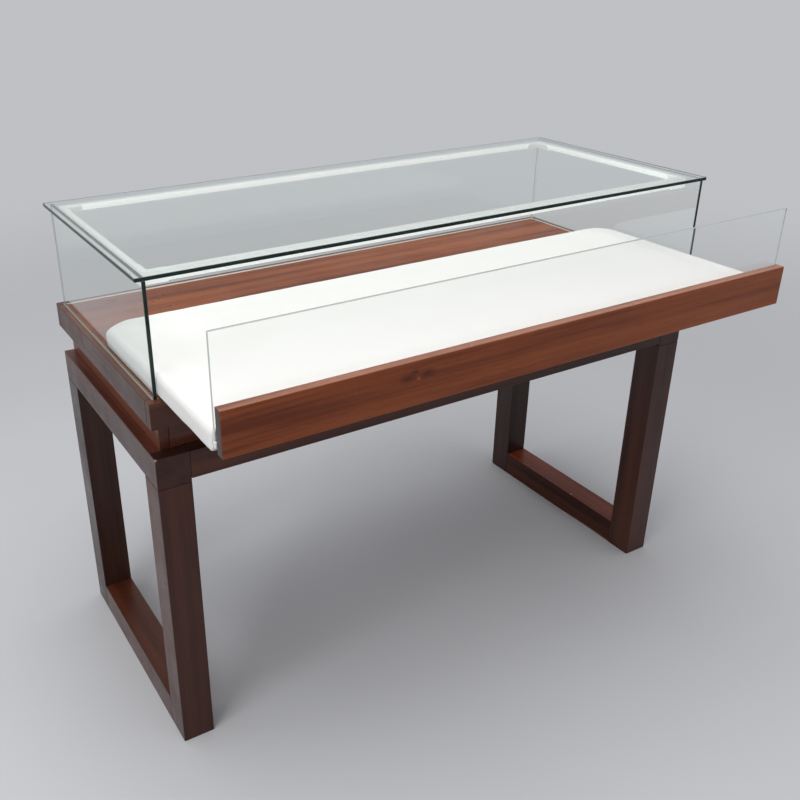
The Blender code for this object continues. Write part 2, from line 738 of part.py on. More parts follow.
def hat_section(half, low, high, neck):
    """A raised strip on two feet, which run under the lips of the channel round it."""
    right = [
        (half, low),
        (half, low + SLIDE_WALL),
        (neck, low + SLIDE_WALL),
        (neck, high),
    ]
    inside = [
        (neck - SLIDE_WALL, high - SLIDE_WALL),
        (neck - SLIDE_WALL, low),
    ]
    left = [(-across, up) for across, up in reversed(right)]
    hollow = [(-across, up) for across, up in inside[::-1]] + inside
    return right + left + hollow


def build_slides(steel, fixed_body, middle_bodies, drawer_body):
    """Two telescopic slides: a fixed channel, a middle channel in it, and a hat strip in that under the tray."""
    outer_half = SLIDE_WIDTH / 2
    middle_half = outer_half - SLIDE_WALL - SLIDE_RUN_GAP
    inner_half = middle_half - SLIDE_WALL - SLIDE_RUN_GAP
    neck = middle_half - SLIDE_WALL - SLIDE_LIP - SLIDE_RUN_GAP
    step = SLIDE_WALL + SLIDE_RUN_GAP
    outer_top = SLIDE_HEIGHT - step
    middle_top = outer_top - step
    closed_front = case_front + SLIDE_FRONT_SETBACK
    sections = (
        ("fixed", lipped_channel(outer_half, SEAT_GAP, outer_top), 0.0),
        ("middle", lipped_channel(middle_half, SEAT_GAP + step, middle_top), DRAWER_OPEN / 2),
        ("inner", hat_section(inner_half, SEAT_GAP + 2 * step, SLIDE_HEIGHT - SEAT_GAP, neck), DRAWER_OPEN),
    )
    for side, label in ((-1, "left"), (1, "right")):
        bodies = {"fixed": fixed_body, "middle": middle_bodies[label], "inner": drawer_body}
        for member, profile, out in sections:
            body = bodies[member]
            where = (side * (tray_half - SLIDE_EDGE_DISTANCE), closed_front - out, deck_top)
            extrusion(f"slide_{member}_{label}", profile, SLIDE_LENGTH, steel, body, where)


def main():
    clear_scene()
    wood = finish("stained_wood", (0.105, 0.034, 0.020), 0.35)
    glass = finish("clear_glass", (0.82, 0.93, 0.89), 0.03, transmission=1.0)
    white = finish("white_channel", (0.82, 0.84, 0.83), 0.4)
    opal = finish("opal_cover", (0.93, 0.94, 0.92), 0.5)
    tape = finish("light_tape", (0.90, 0.86, 0.62), 0.5)
    clear_lead = finish("clear_lead", (0.62, 0.55, 0.42), 0.3)
    driver_finish = finish("driver_case", (0.75, 0.76, 0.77), 0.4)
    rubber = finish("black_rubber", (0.02, 0.02, 0.02), 0.7)
    silicone = finish("grey_silicone", (0.55, 0.57, 0.56), 0.5)
    plywood = finish("plywood", (0.42, 0.27, 0.15), 0.7)
    fabric = finish("white_fabric", (0.86, 0.86, 0.84), 0.9)
    steel = finish("zinc_steel", (0.56, 0.57, 0.58), 0.35, metallic=1.0)

    root = empty("showcase", (0.0, -origin_y, 0.0))
    cabinet = empty("cabinet", parent=root)
    drawer = empty("drawer", parent=root)
    middles = {label: empty(f"slide_{label}", parent=root) for label in ("left", "right")}

    build_stand(wood, cabinet)
    build_plinth(wood, cabinet)
    deck, back_rail = build_case(wood, cabinet)
    build_hood(glass, cabinet)
    build_lights(white, opal, tape, cabinet)
    build_feed(deck, back_rail, clear_lead, driver_finish, rubber, cabinet)
    build_drawer(wood, glass, silicone, plywood, fabric, drawer)
    build_slides(steel, cabinet, middles, drawer)


main()
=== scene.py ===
import math

import bmesh
import bpy
from mathutils import Matrix, Vector, noise


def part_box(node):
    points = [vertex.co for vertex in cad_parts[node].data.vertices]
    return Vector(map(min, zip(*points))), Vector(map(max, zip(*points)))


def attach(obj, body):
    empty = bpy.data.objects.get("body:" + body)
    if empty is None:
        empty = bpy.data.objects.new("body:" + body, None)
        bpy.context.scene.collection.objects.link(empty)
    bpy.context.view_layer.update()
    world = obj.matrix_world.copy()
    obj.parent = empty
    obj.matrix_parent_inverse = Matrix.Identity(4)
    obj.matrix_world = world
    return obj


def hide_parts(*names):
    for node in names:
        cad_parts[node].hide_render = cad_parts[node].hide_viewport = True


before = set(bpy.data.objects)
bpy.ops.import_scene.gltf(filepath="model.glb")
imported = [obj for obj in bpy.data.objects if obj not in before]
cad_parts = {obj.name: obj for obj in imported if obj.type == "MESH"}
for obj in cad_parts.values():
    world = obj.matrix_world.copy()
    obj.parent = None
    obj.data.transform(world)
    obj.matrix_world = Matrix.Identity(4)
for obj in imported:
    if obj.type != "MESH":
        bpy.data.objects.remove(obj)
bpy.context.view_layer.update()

# Camera, in the frame's metres and degrees
CAMERA_PLACE = Vector((-0.9885, -1.3839, 1.3388))
CAMERA_AZIMUTH = math.radians(-30.5519)
CAMERA_ELEVATION = math.radians(26.0885)
CAMERA_ROLL = math.radians(-0.2973)
CAMERA_LENS = 41.69
CAMERA_SENSOR = 36.0
CAMERA_SHIFT = (0.0720, -0.0068)

# Stage
FLOOR_COLOUR = (0.60, 0.61, 0.635)
FLOOR_BOUNCE = (0.30, 0.305, 0.32)
BACKDROP_COLOUR = (0.52, 0.53, 0.555)
FLOOR_RADIUS = 60.0
FLOOR_SEGMENTS = 96
FADE_NEAR = 0.9
FADE_FAR = 4.2
AMBIENT_COLOUR = (0.40, 0.40, 0.412)

# Wood
GRAIN_X, GRAIN_Y, GRAIN_Z = range(3)
STAND_TONE = (0.062, 0.0165, 0.0082)
# The back posts' tone is painted darker, as painted shade inside the leg frames
SHADED_BACK_POST_TONE = (0.036, 0.0125, 0.0075)
PLINTH_TONE = (0.125, 0.034, 0.016)
# The plinth's front and back boards are painted darker than its sides, as painted shade under the drawer
SHADED_PLINTH_FRONT_TONE = (0.095, 0.027, 0.014)
CASE_TONE = (0.078, 0.0235, 0.0130)
FRONT_TONE = (0.240, 0.060, 0.0195)
DECK_TONE = (0.225, 0.060, 0.019)
# Upper faces painted lighter, as painted light from above: the legs' top-rail ledges and the case's side-rail
# ledges
LIT_SIDE_LEDGE_TONE = (0.130, 0.036, 0.019)
# A painted shadow on the ledges in front of the plinth and on the aprons' tops, under the drawer
SHADED_FRONT_LEDGE_TONE = (0.032, 0.012, 0.009)
LIT_CASE_LEDGE_TONE = (0.165, 0.080, 0.052)
# Tones of upper faces: painted light from above on the drawer front, ledges and foot rails, painted shade on
# the aprons' tops
TOP_LIGHT_AND_SHADE_TONES = {
    "drawer_front": (0.29, 0.124, 0.079),
    "leg_left_top_rail": LIT_SIDE_LEDGE_TONE,
    "leg_right_top_rail": LIT_SIDE_LEDGE_TONE,
    "apron_front": SHADED_FRONT_LEDGE_TONE,
    "apron_back": SHADED_FRONT_LEDGE_TONE,
    "leg_left_foot_rail": (0.068, 0.018, 0.0085),
    "leg_right_foot_rail": (0.250, 0.052, 0.017),
    "case_rail_left": LIT_CASE_LEDGE_TONE,
    "case_rail_right": LIT_CASE_LEDGE_TONE,
}
# Width of the soft boundary of the painted shadow on the top rails' ledges
LEDGE_SHADOW_BLEND = 0.001
# End grain is darker; the drawer front's end is painted a near-black slate, which is end grain plus painted
# shade and a painted dark reflection
END_GRAIN_AND_SHADE_TONES = {"drawer_front": (0.030, 0.031, 0.033)}
END_GRAIN_AND_SHADE_SHARE = 0.9
END_SHARE = 0.55

# Wood's varnish: specular level, with the pieces that have a duller, uncoated one, and the coat
SPECULAR = 0.29
DULL = {"case_deck": 0.20, "drawer_front": 0.24, "leg_right_foot_rail": 0.20}
COAT_WEIGHT = 0.08
COAT_ROUGHNESS = 0.25
GLOSS_RANGE = (0.27, 0.40)

# Wood's figure: contrast of the streaks, sizes of the rings, and noise scales along and across the grain
CONTRAST = 1.75
BOLD = {"case_deck": 2.0, "drawer_front": 1.5}
RING_SPACING = 0.0115
RING_WANDER = 0.06
RING_SHARE = 0.16
FIBRE_SHARE = 0.40
PATCH_SHARE = 0.35
PORE_SHARE = 0.35
PITH_DISTANCE = (0.075, 0.045)
PITH_STEP = 0.83
WANDER_SCALE = (0.9, 7.0, 7.0)
RING_PATCH_SCALE = (1.3, 14.0, 14.0)
STREAK_SCALE = (1.2, 36.0, 36.0)
FIBRE_SCALE = (7.0, 260.0, 260.0)
PORE_SCALE = (38.0, 900.0, 900.0)
SCUFF_SCALE = (18.0, 90.0, 90.0)

# Stain worn thin along the edges, lighter, which also stands in as a painted highlight on the arrises
WEAR_AND_HIGHLIGHT_WIDTH = 0.0022
WEAR_AND_HIGHLIGHT = 0.45
PLINTH_WEAR_AND_HIGHLIGHT = 0.12

# The drawer front's knot, and worn or chipped spots of the stand: place, radius and stretch
KNOT_HEART = (Vector((-0.2575, -0.3695, 0.7550)), 0.0050)
KNOT_WINGS = (
    (Vector((-0.2774, -0.3695, 0.7598)), 0.0115),
    (Vector((-0.2414, -0.3695, 0.7601)), 0.0115),
    (Vector((-0.2640, -0.3695, 0.7665)), 0.0070),
)
KNOT_TONE = (0.33, 0.105, 0.050)
KNOT_BEND_REACH = 0.030
KNOT_BEND = 0.010
ROUND = (1.0, 1.0, 1.0)
ALONG_Y = (1.0, 0.03, 1.0)
CHIPS = {
    "leg_left_top_rail": ((Vector((-0.600, -0.1425, 0.604)), 0.0055, ROUND),),
    "leg_right_foot_rail": (
        (Vector((0.545, 0.061, 0.060)), 0.004, ROUND),
        (Vector((0.541, -0.020, 0.001)), 0.004, ALONG_Y),
    ),
}
CHIP_TONE = (0.50, 0.36, 0.26)

# Light bars: colour of their light, and spacing of the tape's diodes
LIGHT_TONE = (0.955, 1.0, 0.965)
DIODE_PITCH = 0.0083
DIODE_REACH = 0.22

# Tray board: two plies
PLY_PAIR = 0.0034

# Pad
PAD_VOXEL = 0.007
PAD_SINK = 0.0020
PAD_PRESSURE = 4.0
PAD_FRAMES = 20
PAD_CAP = 0.0024
PAD_EDGE_RADIUS = 0.009
PAD_EDGE_STEPS = 6
PAD_SIDE_BULGE = 0.0008
PAD_CORNERS = {-1: 0.018, 1: 0.050}
PAD_DROOP = 0.017
PAD_DROOP_REACH = 0.050
PAD_SKIRT_CLEARANCE = 0.00044
PAD_FIT_GAP = 0.0004
TRAY_CORNER = 0.046
ROUND_STEPS = 8
PAD_PLEATS = 9
PAD_PLEAT_DEPTH = 0.0009
PAD_PLEAT_SLOPE = 0.3
PAD_WAVE_HEIGHT = 0.0007
PAD_WAVE_SCALE = 19.0
PAD_WAVE_RISE = 30.0
PAD_FINE_SCALE = 60.0
PAD_FINE_SHIFT = 7.0
PAD_FINE_SHARE = 0.4
PAD_TOP_SHARE = 0.35
THREAD_PITCH = 0.0009

# Silicone beads along the feet of the hood's panes
BEAD_LEG = 0.0018
INNER_BEAD_LEG = 0.0014
BEAD_GAP = 0.0002
BEAD_STEP = 0.02
BEAD_HOLLOW = (0.45, 0.22)
BEAD_UNEVEN = 0.12
BEAD_UNEVEN_SCALE = 40.0

# Least share of a normal along a direction for a face that looks that way, and angle of sharp edges
FACING = 0.9
SHARP_ANGLE = math.radians(50)


class Nodes:
    """One material's node tree. An input takes a number, a colour or another node's socket."""

    def __init__(self, name):
        self.material = bpy.data.materials.new(name)
        self.material.use_nodes = True
        self.tree = self.material.node_tree
        self.shader = self.tree.nodes["Principled BSDF"]
        self.output = self.tree.nodes["Material Output"]
        self.place = self.add("ShaderNodeTexCoord").outputs["Object"]

    def feed(self, socket, value):
        if isinstance(value, bpy.types.NodeSocket):
            self.tree.links.new(value, socket)
        elif socket.type == "RGBA":
            socket.default_value = (*value, 1.0)
        else:
            socket.default_value = value

    def add(self, kind, inputs=None, **settings):
        node = self.tree.nodes.new(kind)
        for key, value in settings.items():
            setattr(node, key, value)
        for socket, value in (inputs or {}).items():
            self.feed(node.inputs[socket], value)
        return node

    def set(self, **inputs):
        """Sets the Principled shader's inputs, with underscores for the spaces in their names."""
        for name, value in inputs.items():
            self.feed(self.shader.inputs[name.replace("_", " ")], value)

    def math(self, operation, first, second=0.0, clamp=False):
        node = self.add("ShaderNodeMath", {0: first, 1: second}, operation=operation, use_clamp=clamp)
        return node.outputs[0]

    def vector(self, operation, first, second, output="Vector"):
        return self.add("ShaderNodeVectorMath", {0: first, 1: second}, operation=operation).outputs[output]

    def length(self, vector):
        return self.vector("LENGTH", vector, (0.0, 0.0, 0.0), "Value")

    def noise(self, place, scale, detail=2.0, roughness=0.5):
        inputs = {"Vector": place, "Scale": scale, "Detail": detail, "Roughness": roughness}
        return self.add("ShaderNodeTexNoise", inputs).outputs["Fac"]

    def span(self, value, low, high, out_low=0.0, out_high=1.0):
        inputs = {"Value": value, "From Min": low, "From Max": high, "To Min": out_low, "To Max": out_high}
        return self.add("ShaderNodeMapRange", inputs, interpolation_type="SMOOTHSTEP").outputs[0]

    def mix(self, factor, first, second, blend="MIX"):
        inputs = {"Fac": factor, "Color1": first, "Color2": second}
        return self.add("ShaderNodeMixRGB", inputs, blend_type=blend).outputs[0]

    def ramp(self, value, *stops):
        node = self.add("ShaderNodeValToRGB", {"Fac": value})
        elements = node.color_ramp.elements
        while len(elements) < len(stops):
            elements.new(1.0)
        for element, (position, colour) in zip(elements, stops):
            element.position = position
            element.color = (*colour, 1.0)
        return node.outputs["Color"]

    def near(self, centre, radius, stretch=(1.0, 1.0, 1.0)):
        """1 at a place, falling to 0 at the radius, with each axis stretched by its own share."""
        offset = self.vector("SUBTRACT", self.place, centre)
        scaled = self.vector("MULTIPLY", offset, stretch)
        return self.span(self.length(scaled), radius, 0.0)

    def edges(self, width):
        """0 on flat faces and 1 on edges, within a width."""
        soft = self.add("ShaderNodeBevel", {"Radius": width}, samples=4).outputs["Normal"]
        flat = self.add("ShaderNodeNewGeometry").outputs["Normal"]
        alike = self.vector("DOT_PRODUCT", soft, flat, "Value")
        return self.span(alike, 0.995, 0.80)

    def bump(self, height, strength, distance):
        inputs = {"Height": height, "Strength": strength, "Distance": distance}
        self.set(Normal=self.add("ShaderNodeBump", inputs).outputs["Normal"])


def shade(colour, factor):
    return tuple(channel * factor for channel in colour)


def dress(piece, *materials):
    piece.data.materials.clear()
    for material in materials:
        piece.data.materials.append(material)


def dress_nodes(material, *names):
    for name in names:
        dress(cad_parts[name], material)


def add_piece(name, mesh):
    piece = bpy.data.objects.new(name, mesh)
    bpy.context.scene.collection.objects.link(piece)
    return piece


# Materials

def wood(node, grain, tone, seed):
    """Stained, satin-varnished wood, with its rings round a pith line beside the piece."""
    n = Nodes(f"wood_{node}")
    knotty = node == "drawer_front"
    low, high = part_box(node)
    local = n.vector("SUBTRACT", n.place, (low + high) / 2)
    split = n.add("ShaderNodeSeparateXYZ", {0: local}).outputs
    turned = {name: split[(grain + step) % 3] for step, name in enumerate("XYZ")}
    along = n.add("ShaderNodeCombineXYZ", turned).outputs[0]
    side = -1.0 if seed % 2 else 1.0
    pith = (seed * PITH_STEP, side * PITH_DISTANCE[0], (1 + seed % 3) * PITH_DISTANCE[1])
    log = n.vector("ADD", along, pith)

    # Faint rings that come and go, wander along the grain and bend round knots
    wander = n.noise(n.vector("MULTIPLY", log, WANDER_SCALE), 1.0, 1.0)
    radius = n.length(n.vector("MULTIPLY", log, (0.0, 1.0, 1.0)))
    if knotty:
        bend = n.near(KNOT_HEART[0], KNOT_BEND_REACH, (0.45, 1.0, 1.0))
        radius = n.math("ADD", radius, n.math("MULTIPLY", bend, KNOT_BEND))
    wandered = n.math("ADD", radius, n.math("MULTIPLY", wander, RING_WANDER))
    phase = n.math("MULTIPLY", wandered, 2 * math.pi / RING_SPACING)
    wave = n.math("ADD", n.math("MULTIPLY", n.math("SINE", phase), 0.5), 0.5)
    shows = n.span(n.noise(n.vector("MULTIPLY", log, RING_PATCH_SCALE), 1.0, 2.0), 0.42, 0.66)
    rings = n.math("MULTIPLY", n.math("POWER", wave, 1.6), shows)

    # Soft streaks, fibres, pores and broad changes of tone
    streak = n.noise(n.vector("MULTIPLY", log, STREAK_SCALE), 1.0, 4.0, 0.55)
    fibre = n.noise(n.vector("MULTIPLY", log, FIBRE_SCALE), 1.0, 4.0, 0.6)
    pores = n.span(n.noise(n.vector("MULTIPLY", log, PORE_SCALE), 1.0, 1.0), 0.60, 0.72)
    patch = n.noise(log, 4.5, 2.0)
    contrast = BOLD.get(node, CONTRAST)
    centred = n.math("ADD", n.math("MULTIPLY", n.math("SUBTRACT", streak, 0.5), contrast), 0.575)
    figure = n.math("ADD", centred, n.math("MULTIPLY", fibre, FIBRE_SHARE))
    figure = n.math("ADD", figure, n.math("MULTIPLY", patch, PATCH_SHARE))
    figure = n.math("SUBTRACT", figure, n.math("MULTIPLY", rings, RING_SHARE))
    red, green, blue = tone
    dark = (red * 0.52, green * 0.44, blue * 0.46)
    light = (red * 1.38, green * 1.50, blue * 1.52)
    colour = n.ramp(n.math("SUBTRACT", figure, 0.45, clamp=True), (0.20, dark), (0.50, tone), (0.82, light))
    colour = n.mix(n.math("MULTIPLY", pores, PORE_SHARE), colour, shade(dark, 0.7))
    if knotty:
        for centre, reach in KNOT_WINGS:
            wing = n.near(centre, reach, (0.55, 1.0, 1.0))
            colour = n.mix(n.math("MULTIPLY", wing, 0.85), colour, shade(dark, 0.60))
        colour = n.mix(n.math("MULTIPLY", n.near(*KNOT_HEART), 0.9), colour, KNOT_TONE)

    # Upper faces painted lighter as light from above or darker as shade, a painted shadow on the ledges in
    # front of the plinth, end grain with the drawer front's end painted dark as shade and reflection, stain
    # worn thin along the edges that also stands as a painted highlight, and chips
    normal = n.add("ShaderNodeNewGeometry").outputs["Normal"]
    # Upper faces mixed to their own tone: painted light from above, or painted shade
    if node in TOP_LIGHT_AND_SHADE_TONES:
        upward = n.span(n.vector("DOT_PRODUCT", normal, (0.0, 0.0, 1.0), "Value"), 0.75, 0.95)
        change = tuple(top / own for top, own in zip(TOP_LIGHT_AND_SHADE_TONES[node], tone))
        colour = n.mix(upward, colour, change, "MULTIPLY")
        # A painted shadow on the top rails' ledges in front of the plinth
        if node.endswith("top_rail"):
            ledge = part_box("plinth_front")[0].y
            depth = n.add("ShaderNodeSeparateXYZ", {0: n.place}).outputs["Y"]
            shadowed = n.span(depth, ledge + LEDGE_SHADOW_BLEND, ledge - LEDGE_SHADOW_BLEND)
            change = tuple(front / top for front, top in zip(SHADED_FRONT_LEDGE_TONE, TOP_LIGHT_AND_SHADE_TONES[node]))
            colour = n.mix(n.math("MULTIPLY", upward, shadowed), colour, change, "MULTIPLY")
    grain_axis = tuple(1.0 if axis == grain else 0.0 for axis in range(3))
    end = n.math("ABSOLUTE", n.vector("DOT_PRODUCT", normal, grain_axis, "Value"))
    # End grain darker, with the drawer front's end painted dark slate as painted shade and reflection
    end_share = END_GRAIN_AND_SHADE_SHARE if node in END_GRAIN_AND_SHADE_TONES else END_SHARE
    colour = n.mix(n.span(end, 0.75, 0.95, 0.0, end_share), colour, END_GRAIN_AND_SHADE_TONES.get(node, shade(dark, 0.8)))
    # Edges lightened where scuffed: worn stain, and also a painted highlight on the arrises
    scuffed = n.span(n.noise(n.vector("MULTIPLY", along, SCUFF_SCALE), 1.0, 4.0), 0.38, 0.62)
    worn_and_lit = n.math("MULTIPLY", n.edges(WEAR_AND_HIGHLIGHT_WIDTH), scuffed)
    wear_and_highlight = PLINTH_WEAR_AND_HIGHLIGHT if node.startswith("plinth") else WEAR_AND_HIGHLIGHT
    colour = n.mix(n.math("MULTIPLY", worn_and_lit, wear_and_highlight), colour, (red * 1.9, green * 2.4, blue * 2.7))
    for chip in CHIPS.get(node, ()):
        colour = n.mix(n.math("MULTIPLY", n.near(*chip), 0.85), colour, CHIP_TONE)

    smudge = n.noise(n.place, 9.0, 4.0, 0.6)
    gloss = n.math("ADD", n.span(smudge, 0.3, 0.75, *GLOSS_RANGE), n.math("MULTIPLY", pores, 0.15))
    n.set(Base_Color=colour, Roughness=gloss, Specular_IOR_Level=DULL.get(node, SPECULAR))
    n.set(Coat_Weight=0.0 if node in DULL else COAT_WEIGHT, Coat_Roughness=COAT_ROUGHNESS)
    height = n.math("SUBTRACT", n.math("MULTIPLY", fibre, 0.45), n.math("MULTIPLY", pores, 0.8))
    n.bump(n.math("ADD", height, n.math("MULTIPLY", rings, 0.25)), 0.28, 0.0006)
    return n.material


def clear_glass(name, tint, shadow):
    """Float glass with a faint ripple, which lets light through to what lies behind it."""
    n = Nodes(name)
    n.set(Base_Color=tint, Roughness=0.01, IOR=1.5, Transmission_Weight=1.0)
    ripple = n.noise(n.place, 2.5, 1.0)
    n.bump(ripple, 0.04, 0.002)
    path = n.add("ShaderNodeLightPath").outputs
    through = n.add("ShaderNodeBsdfTransparent", {"Color": shadow}).outputs[0]
    scattered = n.add("ShaderNodeMixShader", {0: path["Is Diffuse Ray"], 1: n.shader.outputs[0], 2: through})
    mixed = n.add("ShaderNodeMixShader", {0: path["Is Shadow Ray"], 1: scattered.outputs[0], 2: through})
    n.feed(n.output.inputs["Surface"], mixed.outputs[0])
    return n.material


def glass_edge(name, core, rim, specular):
    """The polished edge of a pane, which shows the depth of the glass; its pale copies are painted lighter,
    as painted light.
    """
    n = Nodes(name)
    streak = n.noise(n.vector("MULTIPLY", n.place, (14.0, 14.0, 14.0)), 1.0, 3.0)
    n.set(Base_Color=n.ramp(streak, (0.3, core), (0.75, rim)), Specular_IOR_Level=specular)
    n.set(Roughness=n.span(streak, 0.2, 0.8, 0.08, 0.22))
    return n.material


def ground_arris(name, colour):
    """The ground, matt line along a pane's edges."""
    n = Nodes(name)
    grit = n.noise(n.place, 900.0, 2.0)
    n.set(Base_Color=n.mix(grit, shade(colour, 0.8), shade(colour, 1.1)), Roughness=0.5)
    n.bump(grit, 0.3, 0.0002)
    return n.material


def coated(name, colour, roughness, speckle=600.0, grain=0.2, **more):
    """A coated or moulded surface: fine grain, and faint changes of tone and gloss."""
    n = Nodes(name)
    fine = n.noise(n.place, speckle, 2.0)
    cloud = n.noise(n.place, 14.0, 3.0)
    tone = n.mix(cloud, shade(colour, 0.93), shade(colour, 1.04))
    n.set(Base_Color=tone, Roughness=n.span(cloud, 0.25, 0.75, roughness - 0.05, roughness + 0.07), **more)
    n.bump(fine, grain, 0.0002)
    return n.material


def opal_cover():
    n = Nodes("opal_cover")
    cloud = n.noise(n.place, 30.0, 2.0)
    tone = n.mix(cloud, (0.76, 0.79, 0.77), (0.82, 0.85, 0.83))
    n.set(Base_Color=tone, Roughness=0.35, Emission_Color=LIGHT_TONE, Emission_Strength=0.72)
    return n.material


def light_tape(axis):
    """A tape with a row of diodes along one axis."""
    n = Nodes(f"light_tape_{axis}")
    split = n.add("ShaderNodeSeparateXYZ", {0: n.place}).outputs[axis]
    step = n.math("FRACT", n.math("MULTIPLY", split, 1 / DIODE_PITCH))
    diode = n.add("ShaderNodeMath", {0: step, 1: 0.5, 2: DIODE_REACH}, operation="COMPARE").outputs[0]
    n.set(Base_Color=n.mix(diode, (0.80, 0.78, 0.70), (0.86, 0.66, 0.16)), Roughness=0.4)
    n.set(Emission_Color=(1.0, 0.94, 0.80), Emission_Strength=0.3)
    return n.material


def plywood():
    """Thin plies that show as bands on the edges, with an even face."""
    n = Nodes("plywood")
    split = n.add("ShaderNodeSeparateXYZ", {0: n.place}).outputs
    ply = n.math("FRACT", n.math("MULTIPLY", split["Z"], 1 / PLY_PAIR))
    banded = n.math("GREATER_THAN", ply, 0.5)
    normal = n.add("ShaderNodeSeparateXYZ", {0: n.add("ShaderNodeNewGeometry").outputs["Normal"]}).outputs
    side = n.span(n.math("ABSOLUTE", normal["Z"]), 0.7, 0.3)
    fibre = n.noise(n.vector("MULTIPLY", n.place, (9.0, 320.0, 320.0)), 1.0, 4.0)
    face = n.ramp(fibre, (0.25, (0.30, 0.19, 0.10)), (0.55, (0.44, 0.29, 0.16)), (0.85, (0.53, 0.37, 0.22)))
    edge = n.mix(banded, (0.26, 0.15, 0.075), (0.47, 0.32, 0.18))
    n.set(Base_Color=n.mix(side, face, edge), Roughness=n.span(fibre, 0.2, 0.8, 0.6, 0.8))
    n.bump(fibre, 0.3, 0.0004)
    return n.material


def zinc_steel():
    """Rolled, zinc-plated steel, brushed along Y."""
    n = Nodes("zinc_steel")
    brushed = n.noise(n.vector("MULTIPLY", n.place, (900.0, 8.0, 900.0)), 1.0, 3.0)
    spangle = n.noise(n.place, 70.0, 2.0)
    tone = n.mix(spangle, (0.50, 0.52, 0.53), (0.66, 0.66, 0.64))
    n.set(Base_Color=tone, Metallic=1.0, Roughness=n.span(brushed, 0.2, 0.8, 0.24, 0.42))
    n.bump(brushed, 0.15, 0.0002)
    return n.material


def white_fabric():
    """A plain weave, with its threads along the two axes of each face."""
    n = Nodes("white_fabric")
    split = n.add("ShaderNodeSeparateXYZ", {0: n.place}).outputs
    normal = n.add("ShaderNodeSeparateXYZ", {0: n.add("ShaderNodeNewGeometry").outputs["Normal"]}).outputs

    def thread(axis):
        """The coordinate across the threads: height, on the faces that look along the axis."""
        upright = n.math("GREATER_THAN", n.math("ABSOLUTE", normal[axis]), 0.72)
        level = n.math("MULTIPLY", split[axis], n.math("SUBTRACT", 1.0, upright))
        across = n.math("ADD", level, n.math("MULTIPLY", split["Z"], upright))
        return n.math("SINE", n.math("MULTIPLY", across, 2 * math.pi / THREAD_PITCH))

    weave = n.math("MULTIPLY", thread("X"), thread("Y"))
    slub = n.noise(n.vector("MULTIPLY", n.place, (30.0, 500.0, 500.0)), 1.0, 3.0)
    cloud = n.noise(n.place, 7.0, 3.0)
    tone = n.mix(cloud, (0.865, 0.86, 0.838), (0.905, 0.905, 0.890))
    tone = n.mix(n.span(weave, -0.2, 1.0, 0.0, 0.10), tone, (0.74, 0.74, 0.71))
    n.set(Base_Color=tone, Roughness=n.span(slub, 0.2, 0.8, 0.78, 0.95))
    n.set(Sheen_Weight=0.15, Sheen_Roughness=0.5, Specular_IOR_Level=0.25)
    n.bump(n.math("ADD", weave, n.math("MULTIPLY", slub, 1.2)), 0.35, 0.0003)
    return n.material


def floor_material():
    """A pale matt floor that keeps shadows and fades into the backdrop's colour far away."""
    n = Nodes("floor")
    speck = n.noise(n.place, 3.0, 3.0)
    shown = n.mix(speck, shade(FLOOR_COLOUR, 0.985), shade(FLOOR_COLOUR, 1.015))
    seen = seen_rays(n.tree)
    n.set(Base_Color=n.mix(seen, FLOOR_BOUNCE, shown), Roughness=0.9, Specular_IOR_Level=0.2)
    far = n.span(n.length(n.place), FADE_NEAR, FADE_FAR)
    glow = n.add("ShaderNodeEmission", {"Color": BACKDROP_COLOUR, "Strength": 1.0}).outputs[0]
    mixed = n.add("ShaderNodeMixShader", {0: n.math("MULTIPLY", far, seen), 1: n.shader.outputs[0], 2: glow})
    n.feed(n.output.inputs["Surface"], mixed.outputs[0])
    return n.material


def seen_rays(tree):
    """1 for what the camera sees, directly or in gloss and glass."""
    path = tree.nodes.new("ShaderNodeLightPath").outputs
    seen = path["Is Camera Ray"]
    for ray in ("Is Glossy Ray", "Is Transmission Ray"):
        either = tree.nodes.new("ShaderNodeMath")
        either.operation = "MAXIMUM"
        tree.links.new(seen, either.inputs[0])
        tree.links.new(path[ray], either.inputs[1])
        seen = either.outputs[0]
    return seen


# Stage, light and camera

def build_stage():
    shape = bmesh.new()
    bmesh.ops.create_circle(shape, cap_ends=True, segments=FLOOR_SEGMENTS, radius=FLOOR_RADIUS)
    mesh = bpy.data.meshes.new("floor")
    shape.to_mesh(mesh)
    shape.free()
    floor = add_piece("floor", mesh)
    dress(floor, floor_material())

    world = bpy.data.worlds.new("studio")
    bpy.context.scene.world = world
    world.use_nodes = True
    tree = world.node_tree
    tone = tree.nodes.new("ShaderNodeMixRGB")
    tone.inputs["Color1"].default_value = (*AMBIENT_COLOUR, 1.0)
    tone.inputs["Color2"].default_value = (*BACKDROP_COLOUR, 1.0)
    tree.links.new(seen_rays(tree), tone.inputs["Fac"])
    tree.links.new(tone.outputs[0], tree.nodes["Background"].inputs["Color"])


def area_light(name, place, target, size, power, colour):
    lamp = bpy.data.lights.new(name, "AREA")
    lamp.shape = "RECTANGLE"
    lamp.size, lamp.size_y = size
    lamp.energy = power
    lamp.color = colour
    light = bpy.data.objects.new(name, lamp)
    light.location = place
    light.rotation_euler = (Vector(target) - Vector(place)).to_track_quat("-Z", "Y").to_euler()
    bpy.context.scene.collection.objects.link(light)


def build_lights():
    area_light(
        "overhead",
        place=(-0.3, -0.2, 3.4),
        target=(0.0, 0.0, 0.7),
        size=(3.4, 2.8),
        power=67.0,
        colour=(1.0, 0.99, 0.97),
    )
    area_light(
        "left_window",
        place=(-2.9, -1.3, 2.1),
        target=(0.0, 0.0, 0.6),
        size=(1.8, 1.6),
        power=42.0,
        colour=(0.99, 0.99, 0.99),
    )


